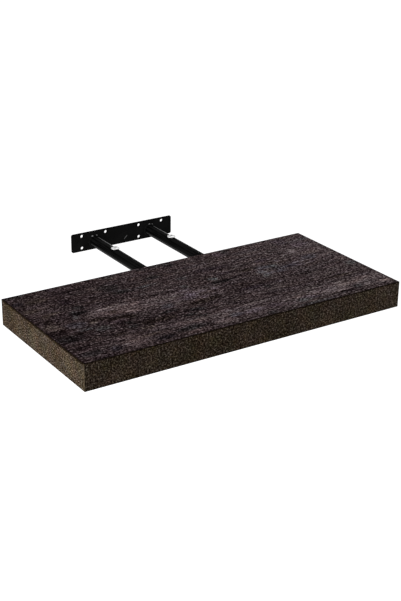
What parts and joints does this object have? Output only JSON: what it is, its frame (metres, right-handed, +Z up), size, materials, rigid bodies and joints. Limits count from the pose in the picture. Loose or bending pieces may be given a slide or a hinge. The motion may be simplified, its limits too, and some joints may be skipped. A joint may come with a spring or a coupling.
{
  "type": "wall shelf",
  "caption": "Hollow-core floating shelf board that slides onto the tubes of a hidden steel wall bracket with levelling screws.",
  "frame": {"origin": "centre of the wall plate's back face, where the bracket meets the wall", "axes": "+X along the shelf's length, +Y into the wall, +Z up"},
  "size_m": [0.5, 0.4195, 0.038],
  "materials": {
    "wood_decor": "satin printed wood grain",
    "edge_band": "satin, speckled brown",
    "softwood": "planed, raw",
    "kraft_paper": "matt, raw",
    "black_coat": "satin powder coat",
    "zinc_plate": "bright zinc plating"
  },
  "bodies": {
    "bracket": {"wall_plate": "black_coat", "left_tube": "black_coat", "right_tube": "black_coat", "left_weld": "black_coat", "right_weld": "black_coat"},
    "board": {"top_panel": "wood_decor", "bottom_panel": "wood_decor", "front_rail": "softwood", "back_rail": "softwood", "left_end_rail": "softwood", "right_end_rail": "softwood", "left_socket_block": "softwood", "right_socket_block": "softwood", "left_core": "kraft_paper", "middle_core": "kraft_paper", "right_core": "kraft_paper", "front_edge_band": "edge_band", "left_edge_band": "edge_band", "right_edge_band": "edge_band"},
    "left_screw": {"left_screw": "zinc_plate"},
    "right_screw": {"right_screw": "zinc_plate"}
  },
  "joints": [
    {"name": "board_slide", "type": "slide", "parent": "bracket", "child": "board", "axis": [0, 1, 0], "range_m": [-0.03, 0.1845]},
    {"name": "left_screw_turn", "type": "hinge", "parent": "bracket", "child": "left_screw", "pos_m": [-0.05, -0.0685, 0.0069], "axis": [0, 0, 1], "range_deg": [0, 2385]},
    {"name": "right_screw_turn", "type": "hinge", "parent": "bracket", "child": "right_screw", "pos_m": [0.05, -0.0685, 0.0069], "axis": [0, 0, 1], "range_deg": [0, 2385]}
  ]
}
